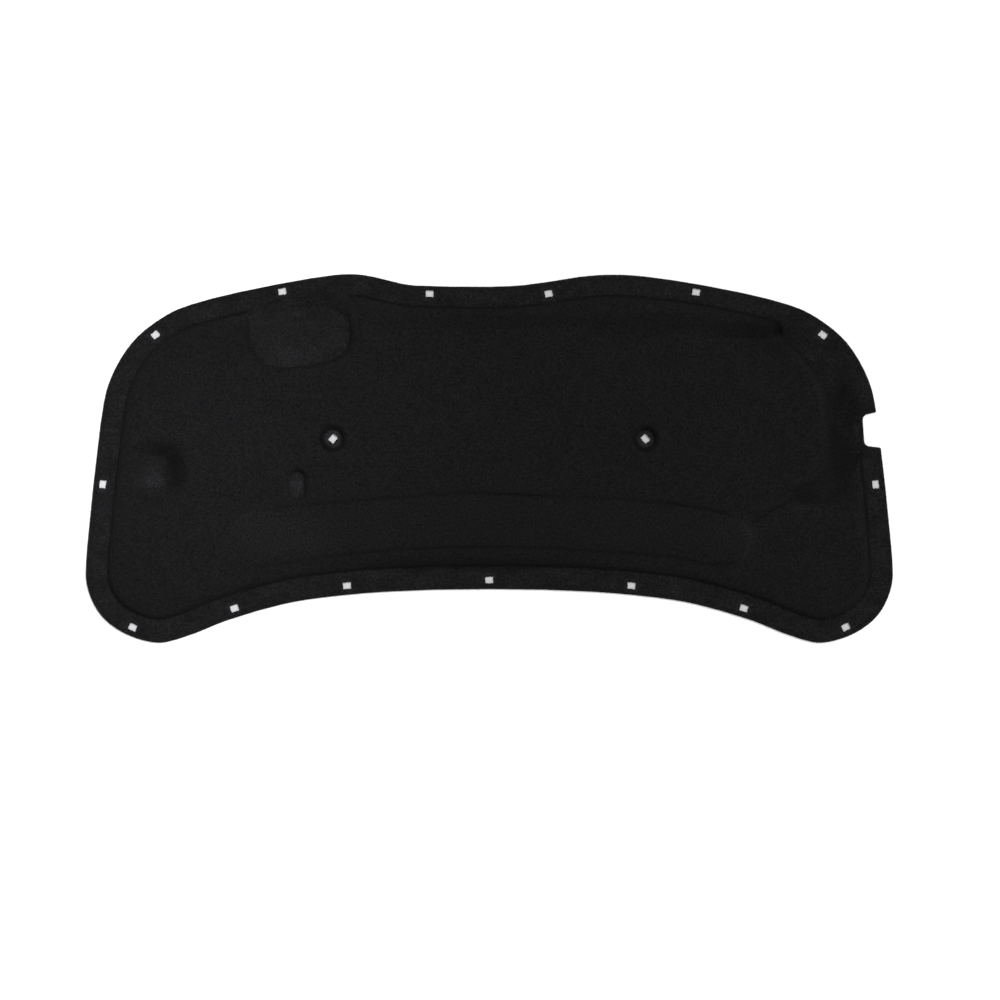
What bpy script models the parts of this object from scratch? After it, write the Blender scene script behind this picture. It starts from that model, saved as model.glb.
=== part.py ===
# Hood insulation pad: one moulded felt mat with a pressed rim, a lofted body and clip holes.
# Metres, +Z up. The pad lies on its rim's underside (z = 0), engine side up, front edge at +Y.

import math

import bmesh
import bpy
import numpy as np
from mathutils import Matrix, Vector
from mathutils.geometry import delaunay_2d_cdt

mm = 0.001

# Outer edge
halfWidth = 620 * mm  # centre line to the widest point of either side
crestY = 283 * mm  # how far the two front lobes reach forward of the datum line
dipDepth = 18 * mm  # front edge between the lobes, set back from their crests
rearMidY = 200.5 * mm  # datum line back to the middle of the rear edge
rearCornerY = 283 * mm  # datum line back to the rear corners' crests

# Thicknesses and levels of the felt
rimThickness = 3.5 * mm  # pressed felt: rim, well floors
bodyRise = 10.5 * mm  # lofted body's face above the rim's face
hollowHeight = 5.0 * mm  # underside of the lofted body above the underside of the rim

# Pressed rim and the wall that climbs from it to the body
rimFront = 32.5 * mm
rimSide = 34.5 * mm
rimRear = 36.5 * mm
wallRun = 12 * mm  # plan width of the wall with its rounded shoulder
slopeRun = 27 * mm  # plan width of the wall where it spreads into a slope on the front lobes
leftSlope = (-352 * mm, -222 * mm)  # stretches of the front edge with the wide slope, along x
rightSlope = (300 * mm, 470 * mm)
slopeBlend = 60 * mm  # over which the steep wall opens into the slope
rightSlopeOut = 2.3 * mm  # how far the right slope's foot lies outside the rim's inner line

# Sections from a wall's foot to its top, as shares of its run and of its rise
steepSection = ((0, 0), (0.13, 0.5), (0.45, 0.84), (1, 1))  # the body: steep foot, long shoulder
easySection = ((0, 0), (0.55, 0.82), (1, 1))  # the panel
softSection = ((0, 0), (0.25, 0.16), (0.75, 0.84), (1, 1))  # the shelf
pressedSection = ((0, 0), (0.5, 0.2), (0.85, 0.6), (1, 1))  # round mouth, steep down to the floor

# Clip holes, die-cut with their long side along the edge, each in a pressed square seat
clipHoleLong = 12.6 * mm
clipHoleShort = 10.4 * mm
clipCorner = 1.2 * mm
seatSize = 21 * mm
seatDepth = 0.9 * mm
seatDraft = 1.2 * mm
frontClipX = 318 * mm
frontClipInset = 12.2 * mm
dipClipX = 91.5 * mm
dipClipInset = 11.5 * mm  # from the straight edge between the lobes
shoulderClipX = 513 * mm
shoulderClipInset = 15.8 * mm
sideClipY = -39.5 * mm
rearClipX = (218.5 * mm, 391.5 * mm, 548 * mm)  # either side of the one on the centre line
rearClipInset = 14 * mm  # rear and side clips

# Round wells that take a clip each in the body
wellX = 240 * mm
wellY = 30.5 * mm
wellFloor = 30 * mm
wellMouth = 44 * mm
wellClipTurn = math.radians(40)  # mirrored from one side to the other

# Oblong recess
recessX = -295 * mm
recessY = -41 * mm
recessWidth = 24.5 * mm
recessLength = 45 * mm
recessFrontDepth = 8.5 * mm  # the floor climbs from its front end to its rear end
recessRearDepth = 4.0 * mm
recessDraft = 4.5 * mm
recessLean = 1.8 * mm  # mouth set forward of the floor, so that the front wall slopes most

# Soft round dimple on the left
dimpleInset = 107 * mm  # from the left side's widest point
dimpleY = -18 * mm
dimpleSize = 88 * mm
dimpleDepth = 9 * mm
dimpleLean = (11 * mm, -3 * mm)  # its deepest point from the middle of its mouth
dimpleRings = 5

# Pocket pressed into the left front lobe
pocketDepth = 4.5 * mm
pocketDraft = 5.0 * mm

# Long raised panel along the rear edge
panelRise = 3.0 * mm
panelDraft = 6.0 * mm

# Low shelf that the bay's floor makes behind the rim's inner line on the right
shelfRise = 2.5 * mm

# Notch in the right side
notchY = 44.5 * mm
notchWidth = 50 * mm  # between its two ends, which flare out to the lips
notchMouth = 55 * mm
notchDepth = 23.5 * mm
notchTurn = math.radians(3)  # its floor stands nearer to the y axis than the edge does
notchInnerRadius = 9 * mm
notchLipRadius = 1.2 * mm

# Modelling values
curveStep = 3 * mm  # spacing at which curves are traced before they are thinned
curveError = 0.3 * mm  # how far a thinned outline may cut inside its curve
weldDistance = 0.05 * mm
cutOver = 20 * mm  # how far a cutter reaches past the felt
circleSides = 28

# Half of the outer edge from the rear middle round the corner to the front lobe.
# First run: distance from the centre line, and how far the edge lies behind the rear middle.
rearRun = (
    (0 * mm, 0 * mm),
    (115 * mm, 2 * mm),
    (215 * mm, 8.5 * mm),
    (307 * mm, 21 * mm),
    (400 * mm, 47 * mm),
    (461 * mm, 71 * mm),
)
# Second run: distance in from the widest point, and how far forward of the corner's crest.
cornerRun = (
    (113 * mm, 0 * mm),
    (69 * mm, 10 * mm),
    (37 * mm, 28.5 * mm),
    (19.5 * mm, 47 * mm),
    (9 * mm, 65.5 * mm),
    (2.7 * mm, 84 * mm),
    (0 * mm, 103 * mm),
)
# Third run: distance in from the widest point, and y.
sideRun = (
    (8.6 * mm, -70 * mm),
    (17 * mm, 4 * mm),
    (24.5 * mm, 65 * mm),
    (33.5 * mm, 110 * mm),
    (52 * mm, 151 * mm),
    (80 * mm, 188 * mm),
    (132 * mm, 225 * mm),
)
# Front lobes and the dip between them: x, and how far the edge lies behind the crests.
rightLobe = (
    (435 * mm, 39.5 * mm),
    (333 * mm, 17.5 * mm),
    (241 * mm, 3.5 * mm),
    (195 * mm, 0.5 * mm),
    (149 * mm, 2.5 * mm),
    (87 * mm, 12 * mm),
)
leftLobe = (
    (-435 * mm, 39.5 * mm),
    (-343 * mm, 18.5 * mm),
    (-251 * mm, 2.5 * mm),
    (-220 * mm, -0.3 * mm),
    (-190 * mm, 1.4 * mm),
    (-128 * mm, 15.5 * mm),
)
dipRun = (35 * mm, -93 * mm)  # ends of the straight edge between the lobes

# Foot of the right lobe's end wall, round the low bay beside it and back to the rim:
# distance in from the widest point, and y.
bayFoot = (
    (175 * mm, 190 * mm),
    (158 * mm, 174 * mm),
    (132 * mm, 148 * mm),
    (109 * mm, 113 * mm),
    (96 * mm, 80 * mm),
    (91.5 * mm, 36 * mm),
    (98 * mm, -10 * mm),
    (113 * mm, -35 * mm),
    (134 * mm, -44 * mm),
    (151 * mm, -52 * mm),
    (138 * mm, -63 * mm),
    (109 * mm, -65 * mm),
    (81 * mm, -48 * mm),
    (61 * mm, -18 * mm),
)
# Top of the same wall, and the front of the raised corner behind the bay.
bayTop = (
    (178 * mm, 182 * mm),
    (150 * mm, 156 * mm),
    (132 * mm, 133 * mm),
    (118 * mm, 105 * mm),
    (112 * mm, 67 * mm),
    (112 * mm, 28 * mm),
    (120 * mm, -8 * mm),
    (138 * mm, -33 * mm),
    (159 * mm, -43 * mm),
    (166 * mm, -59 * mm),
    (152 * mm, -76 * mm),
    (109 * mm, -81 * mm),
    (84 * mm, -69 * mm),
    (68 * mm, -46 * mm),
)
bayFootEnd = 12 * mm  # y at which the bay's foot runs into the rim's foot
bayTopEnd = -18 * mm
bayCrease = 56 * mm  # in from the widest point: the wall is creased outside this, soft inside
bayRear = -90 * mm
bayFront = 178 * mm
bayBlend = 18 * mm  # over which the crease fades

# Shelf on the bay's floor, foot and top of its edge: distance in from the widest point, and y.
# Only the front of it shows: the rest runs on below the raised body.
shelfFoot = (
    (52.5 * mm, 14 * mm),
    (60 * mm, 32 * mm),
    (78 * mm, 60 * mm),
    (98 * mm, 85 * mm),
    (150 * mm, 70 * mm),
    (190 * mm, -30 * mm),
    (160 * mm, -105 * mm),
    (90 * mm, -95 * mm),
    (62 * mm, -45 * mm),
    (53 * mm, -12 * mm),
)
shelfTop = (
    (60 * mm, 2 * mm),
    (80 * mm, 12 * mm),
    (97 * mm, 40 * mm),
    (150 * mm, 40 * mm),
    (175 * mm, -30 * mm),
    (150 * mm, -90 * mm),
    (95 * mm, -82 * mm),
    (68 * mm, -40 * mm),
)

# Pocket's edge: x, and how far behind the front crests.
pocketEdge = (
    (-369 * mm, 52 * mm),
    (-375 * mm, 92 * mm),
    (-360 * mm, 131 * mm),
    (-334 * mm, 147 * mm),
    (-290 * mm, 146 * mm),
    (-236 * mm, 134 * mm),
    (-213 * mm, 115 * mm),
    (-212 * mm, 66 * mm),
    (-240 * mm, 47 * mm),
    (-300 * mm, 44 * mm),
)
# Raised panel's edge: x and y.
panelEdge = (
    (-14 * mm, -53 * mm),
    (-170 * mm, -62 * mm),
    (-324 * mm, -77 * mm),
    (-381 * mm, -91 * mm),
    (-398 * mm, -126 * mm),
    (-378 * mm, -157 * mm),
    (-345 * mm, -164 * mm),
    (-202 * mm, -145 * mm),
    (0 * mm, -135 * mm),
    (201 * mm, -144 * mm),
    (281 * mm, -150.5 * mm),
    (350 * mm, -163 * mm),
    (386 * mm, -154 * mm),
    (402 * mm, -120 * mm),
    (380 * mm, -93 * mm),
    (270 * mm, -68 * mm),
    (84 * mm, -58 * mm),
)


def curveThrough(points, closed):
    # Centripetal Catmull-Rom curve, traced at about curveStep
    pts = [np.array(p, float) for p in points]
    if closed:
        ring = [pts[-1]] + pts + pts[:2]
    else:
        ring = [2 * pts[0] - pts[1]] + pts + [2 * pts[-1] - pts[-2]]
    traced = []
    for a, b, c, d in zip(ring, ring[1:], ring[2:], ring[3:]):
        t1 = np.linalg.norm(b - a) ** 0.5
        t2 = t1 + np.linalg.norm(c - b) ** 0.5
        t3 = t2 + np.linalg.norm(d - c) ** 0.5
        count = max(2, round(np.linalg.norm(c - b) / curveStep))
        for t in np.linspace(t1, t2, count, endpoint=False):
            ab = a + (b - a) * t / t1
            bc = b + (c - b) * (t - t1) / (t2 - t1)
            cd = c + (d - c) * (t - t2) / (t3 - t2)
            abc = ab + (bc - ab) * t / t2
            bcd = bc + (cd - bc) * (t - t1) / (t3 - t1)
            traced.append(abc + (bcd - abc) * (t - t1) / (t2 - t1))
    if not closed:
        traced.append(pts[-1])
    return np.array(traced)


def thinned(points):
    # Keeps the points of an open run that its shape needs, to within curveError
    start, end = points[0], points[-1]
    chord = end - start
    length = np.linalg.norm(chord)
    away = points - start
    if length > 0:
        away = np.abs(away[:, 0] * chord[1] - away[:, 1] * chord[0]) / length
    else:
        away = np.linalg.norm(away, axis=1)
    worst = int(np.argmax(away))
    if len(points) < 3 or away[worst] < curveError:
        return np.array([start, end])
    return np.vstack([thinned(points[:worst + 1])[:-1], thinned(points[worst:])])


def thinnedRing(points):
    middle = len(points) // 2
    closed = np.vstack([points, points[:1]])
    return np.vstack([thinned(closed[:middle + 1])[:-1], thinned(closed[middle:])[:-1]])


def inwardNormals(ring):
    # For a ring that runs anticlockwise, seen from above
    along = np.roll(ring, -1, axis=0) - np.roll(ring, 1, axis=0)
    along /= np.linalg.norm(along, axis=1)[:, None]
    return np.column_stack([-along[:, 1], along[:, 0]])


def circle(x, y, diameter, sides=circleSides):
    angles = np.arange(sides) * 2 * math.pi / sides
    return np.column_stack([x + np.cos(angles) * diameter / 2, y + np.sin(angles) * diameter / 2])


def oblong(x, y, width, length):
    # Straight sides along y with round ends
    half = np.linspace(0, math.pi, circleSides // 2 + 1)
    reach = (length - width) / 2
    front = np.column_stack([x + np.cos(half) * width / 2, y + reach + np.sin(half) * width / 2])
    rear = np.column_stack([x - np.cos(half) * width / 2, y - reach - np.sin(half) * width / 2])
    return np.vstack([front, rear])


def outerEdge():
    # Anticlockwise from the rear middle: right side first
    def halfEdge(side):
        rear = [(side * x, -rearMidY - back) for x, back in rearRun]
        corner = [(side * (halfWidth - inward), -rearCornerY + forward) for inward, forward in cornerRun]
        flank = [(side * (halfWidth - inward), y) for inward, y in sideRun]
        return rear + corner + flank

    right = halfEdge(1) + [(x, crestY - back) for x, back in rightLobe]
    left = halfEdge(-1)[1:] + [(x, crestY - back) for x, back in leftLobe]
    dip = [(x, crestY - dipDepth) for x in dipRun]
    return curveThrough(right + dip + left[::-1], closed=True)


def rimWidths(normals):
    # The rim's width goes by the side of the pad that it runs along
    front = np.clip(-normals[:, 1], 0, 1)
    rear = np.clip(normals[:, 1], 0, 1)
    return rimSide + (rimFront - rimSide) * front + (rimRear - rimSide) * rear


def slopeShare(x, stretch):
    # 1 along the stretch of front edge that slopes, fading to 0 over slopeBlend beside it
    outside = np.maximum(stretch[0] - x, x - stretch[1])
    return eased(np.clip(1 - outside / slopeBlend, 0, 1))


def fromRight(points):
    # Turns distances in from the right side's widest point into x
    return [(halfWidth - inward, y) for inward, y in points]


def bodyContours(edge):
    # Foot and top of the wall round the lofted body, open to the low bay on the right
    normals = inwardNormals(edge)
    facingFront = np.clip(-normals[:, 1], 0, 1)
    left = slopeShare(edge[:, 0], leftSlope) * facingFront
    right = slopeShare(edge[:, 0], rightSlope) * facingFront
    inset = rimWidths(normals) - rightSlopeOut * right
    run = wallRun + (slopeRun - wallRun) * np.maximum(left, right)
    foot = edge + normals * inset[:, None]
    top = edge + normals * (inset + run)[:, None]

    def closedBy(ring, points, endY):
        # The ring without its stretch beside the bay, joined up by the bay's own points
        startX = points[0][0]
        beside = (ring[:, 0] > startX) & (ring[:, 1] > endY)
        first = int(np.argmax(beside))
        last = len(ring) - int(np.argmax(beside[::-1]))
        bay = curveThrough([ring[last]] + points + [ring[first - 1]], closed=False)
        kept = np.vstack([ring[last:], ring[:first]])
        return np.vstack([kept, bay[::-1][1:-1]])

    foot = closedBy(foot, fromRight(bayFoot), bayFootEnd)
    top = closedBy(top, fromRight(bayTop), bayTopEnd)
    return foot, top


def draftedEdge(points, draft):
    ring = curveThrough(points, closed=True)
    return ring, ring + inwardNormals(ring) * draft


def distanceTo(ring, points):
    # Shortest distance from each point to the closed ring
    start = ring[None, :, :]
    along = np.roll(ring, -1, axis=0)[None, :, :] - start
    away = points[:, None, :] - start
    share = np.clip((away * along).sum(2) / (along * along).sum(2), 0, 1)
    return np.linalg.norm(away - along * share[:, :, None], axis=2).min(axis=1)


def insideRing(ring, points):
    x, y = points[:, 0][:, None], points[:, 1][:, None]
    x1, y1 = ring[:, 0][None, :], ring[:, 1][None, :]
    x2, y2 = np.roll(ring[:, 0], -1)[None, :], np.roll(ring[:, 1], -1)[None, :]
    spans = (y1 > y) != (y2 > y)
    rise = np.where(y2 == y1, 1, y2 - y1)
    crosses = spans & (x < (x2 - x1) * (y - y1) / rise + x1)
    return crosses.sum(axis=1) % 2 == 1


def nearestOn(ring, points):
    # The ring's own point nearest to each of the points
    away = np.linalg.norm(points[:, None, :] - ring[None, :, :], axis=2)
    return ring[away.argmin(axis=1)]


def wallContours(section, foot, top):
    # A wall's section, and a thinned contour for each of its stations from foot to top
    across = nearestOn(top, foot) - foot
    between = [foot + across * run for run, _ in section[1:-1]]
    return section, [thinnedRing(ring) for ring in [foot] + between + [top]]


def climb(points, shape):
    # 0 outside the foot and 1 inside the top, with an even ramp between them in the first result
    # and the wall's section in the second
    section, contours = shape
    foot, top = contours[0], contours[-1]
    toFoot = distanceTo(foot, points)
    toTop = distanceTo(top, points)
    ramp = toFoot / np.maximum(toFoot + toTop, weldDistance)
    ramp[toFoot < weldDistance] = 0
    ramp[toTop < weldDistance] = 1
    ramp[insideRing(top, points) & (toTop >= weldDistance)] = 1
    ramp[~insideRing(foot, points) & (toFoot >= weldDistance)] = 0
    stations = np.array(section)
    return ramp, np.interp(ramp, stations[:, 0], stations[:, 1])


def eased(share):
    return share * share * (3 - 2 * share)


def creaseless(points):
    # 1 where the body's wall flows into the felt beside it: left front slope and round the bay
    x, y = points[:, 0], points[:, 1]
    front = slopeShare(x, leftSlope) * (y > 0)
    inBay = np.minimum.reduce([x, halfWidth - bayCrease - x, y - bayRear, bayFront - y])
    return np.maximum(front, eased(np.clip(inBay / bayBlend, 0, 1)))


def reliefShapes(edge):
    # Each raised or pressed shape with its section and the contours that its wall runs between
    shelf = [curveThrough(fromRight(run), closed=True) for run in (shelfFoot, shelfTop)]
    pocket = [(x, crestY - back) for x, back in pocketEdge]
    shapes = {
        "body": wallContours(steepSection, *bodyContours(edge)),
        "shelf": wallContours(softSection, *shelf),
        "pocket": wallContours(pressedSection, *draftedEdge(pocket, pocketDraft)),
        "panel": wallContours(easySection, *draftedEdge(panelEdge, panelDraft)),
    }
    for name, side in (("leftWell", -1), ("rightWell", 1)):
        mouth = circle(side * wellX, wellY, wellMouth)
        floor = circle(side * wellX, wellY, wellFloor)
        shapes[name] = wallContours(pressedSection, mouth, floor)
    mouthWidth = recessWidth + recessDraft * 2
    mouthLength = recessLength + recessDraft * 2
    mouth = oblong(recessX, recessY + recessLean, mouthWidth, mouthLength)
    floor = oblong(recessX, recessY, recessWidth, recessLength)
    shapes["recess"] = wallContours(pressedSection, mouth, floor)
    return shapes


def dimpleRing(reach):
    # From the deepest point at reach 0 out to the mouth at reach 1
    x = dimpleInset - halfWidth + dimpleLean[0] * (1 - reach)
    y = dimpleY + dimpleLean[1] * (1 - reach)
    return circle(x, y, dimpleSize * reach)


def dimpleBowl(points):
    # Depth of the dimple at each point as a share of its full depth: the reach of the ring that
    # passes through the point follows from the ring's moving centre
    lean = np.array(dimpleLean)
    fromDeepest = points - dimpleRing(0)[0]
    along = fromDeepest @ lean
    room = (dimpleSize / 2) ** 2 - lean @ lean
    reach = (along + np.sqrt(along ** 2 + room * (fromDeepest ** 2).sum(axis=1))) / room
    return eased(np.clip(1 - reach, 0, 1))


def planMesh(edge, shapes):
    # Flat triangles over the whole pad, with an edge along every contour
    rings = [thinnedRing(edge)]
    for _, contours in shapes.values():
        rings += contours
    for ring in range(dimpleRings):
        rings.append(dimpleRing((ring + 1) / dimpleRings))
    points, edges = [], []
    for ring in rings:
        first = len(points)
        points += [Vector(p) for p in ring]
        edges += [(first + i, first + (i + 1) % len(ring)) for i in range(len(ring))]
    points.append(Vector(dimpleRing(0)[0]))
    border = list(range(len(rings[0])))
    verts, _, faces, _, _, _ = delaunay_2d_cdt(points, edges, [border], 1, weldDistance)
    mesh = bmesh.new()
    made = [mesh.verts.new((v.x, v.y, 0)) for v in verts]
    for face in faces:
        mesh.faces.new([made[i] for i in face])
    bmesh.ops.remove_doubles(mesh, verts=mesh.verts, dist=weldDistance)
    bmesh.ops.recalc_face_normals(mesh, faces=mesh.faces)
    return mesh


def faceLevels(points, shapes):
    # Height of the engine-side face and of the underside at each point of the plan
    climbs = {name: climb(points, shape) for name, shape in shapes.items()}
    share = {name: risen for name, (_, risen) in climbs.items()}
    ramp, body = climbs["body"]
    body = body + (eased(ramp) - body) * creaseless(points)
    level = rimThickness + bodyRise * body + shelfRise * share["shelf"] * (1 - body)
    level -= pocketDepth * share["pocket"] * body
    level += panelRise * share["panel"]
    for name in ("leftWell", "rightWell"):
        level += (rimThickness - level) * share[name]
    alongRecess = np.clip((points[:, 1] - recessY) / recessLength + 0.5, 0, 1)
    recessDepth = recessRearDepth + (recessFrontDepth - recessRearDepth) * alongRecess
    level -= recessDepth * share["recess"]
    level -= dimpleDepth * dimpleBowl(points)
    level = np.maximum(level, rimThickness)
    # The felt is nowhere thinner than the rim: its underside gives way below the recess
    underRecess = (hollowHeight - bodyRise + recessFrontDepth) * alongRecess * share["recess"]
    underside = np.minimum(hollowHeight * body - underRecess, level - rimThickness)
    return level, np.clip(underside, 0, None)


def mouldedFelt(edge, shapes):
    # The plan is drawn out into a sheet, and each of its faces is pressed to its own levels
    mesh = planMesh(edge, shapes)
    drawn = bmesh.ops.extrude_face_region(mesh, geom=mesh.faces[:])
    upper = [v for v in drawn["geom"] if isinstance(v, bmesh.types.BMVert)]
    isUpper = set(upper)
    lower = [v for v in mesh.verts if v not in isUpper]
    for verts, face in ((upper, 0), (lower, 1)):
        points = np.array([v.co[:2] for v in verts])
        for vert, level in zip(verts, faceLevels(points, shapes)[face]):
            vert.co.z = level
    bmesh.ops.recalc_face_normals(mesh, faces=mesh.faces)
    flat = math.radians(0.05)
    bmesh.ops.dissolve_limit(mesh, angle_limit=flat, verts=mesh.verts, edges=mesh.edges)
    bmesh.ops.triangulate(mesh, faces=mesh.faces)
    return mesh


def roundedOblong(width, length, radius, segments=3):
    # Anticlockwise corner arcs round the origin, width along x and length along y
    points = []
    for alongX, alongY, corner in ((1, 1, 0), (-1, 1, 1), (-1, -1, 2), (1, -1, 3)):
        centre = Vector((alongX * (width / 2 - radius), alongY * (length / 2 - radius)))
        for step in range(segments + 1):
            angle = (corner + step / segments) * math.pi / 2
            points.append(centre + Vector((math.cos(angle), math.sin(angle))) * radius)
    return points


def notchProfile(segments=5):
    # Drawn with the pad's edge along x = 0 and the felt at -x: rounded lips, ends that flare
    # outward, rounded inner corners
    reach, half = notchDepth, notchWidth / 2
    inner, lip = notchInnerRadius, notchLipRadius
    mouth = notchMouth / 2
    points = []
    for step in range(segments + 1):
        angle = math.pi / 2 * step / segments
        points.append(Vector((-lip + lip * math.sin(angle), mouth + lip - lip * math.cos(angle))))
    points = [Vector((cutOver, mouth + lip))] + points[::-1]
    for step in range(segments + 1):
        angle = math.pi / 2 + math.pi / 2 * step / segments
        point = (-reach + inner + inner * math.cos(angle), half - inner + inner * math.sin(angle))
        points.append(Vector(point))
    return points + [Vector((p.x, -p.y)) for p in points[::-1]]


def prism(mesh, lowerRing, upperRing, place):
    # Closed solid between two rings of as many points, given as (x, y, z)
    low = [mesh.verts.new(place @ Vector(p)) for p in lowerRing]
    high = [mesh.verts.new(place @ Vector(p)) for p in upperRing]
    mesh.faces.new(low[::-1])
    mesh.faces.new(high)
    for i in range(len(low)):
        j = (i + 1) % len(low)
        mesh.faces.new([low[i], low[j], high[j], high[i]])


def edgePlace(edge, axis, station, side, insetBy):
    # Frame at a distance in from the edge, where that line crosses a station along one axis, on
    # the given side of the other axis: its x axis points outward, square to the edge
    normals = inwardNormals(edge)
    line = edge + normals * insetBy
    away = np.abs(line[:, axis] - station)
    away[line[:, 1 - axis] * side < 0] = np.inf
    nearest = int(np.argmin(away))
    inward = normals[nearest]
    along = np.array((inward[1], -inward[0]))
    centre = line[nearest] + along * (station - line[nearest][axis]) / along[axis]
    turn = math.atan2(-inward[1], -inward[0])
    return Matrix.Translation((centre[0], centre[1], 0)) @ Matrix.Rotation(turn, 4, "Z")


def rimClipPlaces(edge):
    alongX, alongY = 0, 1
    places = []
    for side in (-1, 1):
        places.append(edgePlace(edge, alongX, side * frontClipX, 1, frontClipInset))
        places.append(edgePlace(edge, alongX, side * shoulderClipX, 1, shoulderClipInset))
        places.append(edgePlace(edge, alongY, sideClipY, side, rearClipInset))
        dip = edgePlace(edge, alongX, side * dipClipX, 1, dipClipInset)
        dip.translation.y = crestY - dipDepth - dipClipInset
        places.append(dip)
        for x in rearClipX:
            places.append(edgePlace(edge, alongX, side * x, -1, rearClipInset))
    places.append(edgePlace(edge, alongX, 0, -1, rearClipInset))
    return places


def wellClipPlaces():
    places = []
    for side in (-1, 1):
        turn = Matrix.Rotation(side * wellClipTurn, 4, "Z")
        places.append(Matrix.Translation((side * wellX, wellY, 0)) @ turn)
    return places


def cutter(name, mesh, collection):
    bmesh.ops.recalc_face_normals(mesh, faces=mesh.faces)
    data = bpy.data.meshes.new(name)
    mesh.to_mesh(data)
    mesh.free()
    tool = bpy.data.objects.new(name, data)
    tool.hide_render = True
    tool.display_type = "WIRE"
    collection.objects.link(tool)


def clipHoleCutter(edge, collection):
    mesh = bmesh.new()
    profile = roundedOblong(clipHoleShort, clipHoleLong, clipCorner)
    for place in rimClipPlaces(edge) + wellClipPlaces():
        low = [(p.x, p.y, -cutOver) for p in profile]
        high = [(p.x, p.y, bodyRise + cutOver) for p in profile]
        prism(mesh, low, high, place)
    cutter("clip_hole_dies", mesh, collection)


def clipSeatCutter(edge, collection):
    # Shallow drafted squares, pressed into the rim's face round the clip holes
    mesh = bmesh.new()
    floorSize = seatSize - seatDraft * 2
    over = rimThickness
    mouthSize = seatSize + seatDraft * 2 * over / seatDepth
    floor = roundedOblong(floorSize, floorSize, clipCorner)
    mouth = roundedOblong(mouthSize, mouthSize, clipCorner)
    for place in rimClipPlaces(edge):
        low = [(p.x, p.y, rimThickness - seatDepth) for p in floor]
        high = [(p.x, p.y, rimThickness + over) for p in mouth]
        prism(mesh, low, high, place)
    cutter("clip_seat_dies", mesh, collection)


def notchCutter(edge, collection):
    mesh = bmesh.new()
    alongY = 1
    place = edgePlace(edge, alongY, notchY, 1, 0) @ Matrix.Rotation(-notchTurn, 4, "Z")
    profile = notchProfile()
    low = [(p.x, p.y, -cutOver) for p in profile]
    high = [(p.x, p.y, bodyRise + cutOver) for p in profile]
    prism(mesh, low, high, place)
    cutter("notch_die", mesh, collection)


def feltMaterial():
    felt = bpy.data.materials.new("black_felt")
    felt.use_nodes = True
    shader = felt.node_tree.nodes["Principled BSDF"]
    shader.inputs["Base Color"].default_value = (0.011, 0.011, 0.012, 1)
    shader.inputs["Roughness"].default_value = 0.95
    shader.inputs["Metallic"].default_value = 0
    felt.diffuse_color = (0.011, 0.011, 0.012, 1)
    return felt


def newCollection(name):
    collection = bpy.data.collections.new(name)
    bpy.context.scene.collection.children.link(collection)
    return collection


def build():
    for thing in list(bpy.data.objects):
        bpy.data.objects.remove(thing)
    parts = newCollection("hood_insulation_pad")
    cutters = newCollection("cutters")
    edge = outerEdge()
    clipHoleCutter(edge, cutters)
    clipSeatCutter(edge, cutters)
    notchCutter(edge, cutters)
    mesh = mouldedFelt(edge, reliefShapes(edge))
    data = bpy.data.meshes.new("insulation_pad")
    mesh.to_mesh(data)
    mesh.free()
    pad = bpy.data.objects.new("insulation_pad", data)
    pad.data.materials.append(feltMaterial())
    parts.objects.link(pad)
    cut = pad.modifiers.new("die_cuts", "BOOLEAN")
    cut.operation = "DIFFERENCE"
    cut.solver = "EXACT"
    cut.operand_type = "COLLECTION"
    cut.collection = cutters


build()
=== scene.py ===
# Hood insulation pad: the moulded felt as it looks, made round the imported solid.
# Metres, +Z up. The pad lies on the underside of its rim, engine side up, front edge at +Y.

import math

import bmesh
import bpy
import numpy as np
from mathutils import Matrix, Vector, noise
from mathutils.geometry import delaunay_2d_cdt
from mathutils.kdtree import KDTree


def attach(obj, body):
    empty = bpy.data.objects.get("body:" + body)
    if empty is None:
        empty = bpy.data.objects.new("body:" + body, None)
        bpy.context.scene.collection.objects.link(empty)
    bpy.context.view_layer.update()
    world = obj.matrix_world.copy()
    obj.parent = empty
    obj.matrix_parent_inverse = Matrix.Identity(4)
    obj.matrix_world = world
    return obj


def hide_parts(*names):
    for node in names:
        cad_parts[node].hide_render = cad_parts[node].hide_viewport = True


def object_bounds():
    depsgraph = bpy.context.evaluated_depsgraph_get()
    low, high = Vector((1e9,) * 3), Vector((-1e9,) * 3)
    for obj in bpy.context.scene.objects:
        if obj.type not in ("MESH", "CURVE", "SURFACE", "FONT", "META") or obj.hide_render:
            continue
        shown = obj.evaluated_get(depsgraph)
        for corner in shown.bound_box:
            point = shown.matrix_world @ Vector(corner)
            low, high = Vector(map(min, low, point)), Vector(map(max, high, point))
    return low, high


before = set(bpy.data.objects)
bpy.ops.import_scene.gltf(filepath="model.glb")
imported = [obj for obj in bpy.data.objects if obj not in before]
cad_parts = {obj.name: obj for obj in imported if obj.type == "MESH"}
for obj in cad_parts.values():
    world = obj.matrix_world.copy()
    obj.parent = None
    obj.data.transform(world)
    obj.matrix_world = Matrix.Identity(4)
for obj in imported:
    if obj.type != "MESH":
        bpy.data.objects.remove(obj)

cadLow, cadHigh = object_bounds()
mm = 0.001
print("frame loaded: the solid is %.0f x %.0f x %.1f mm" % tuple((cadHigh - cadLow) / mm))

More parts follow.
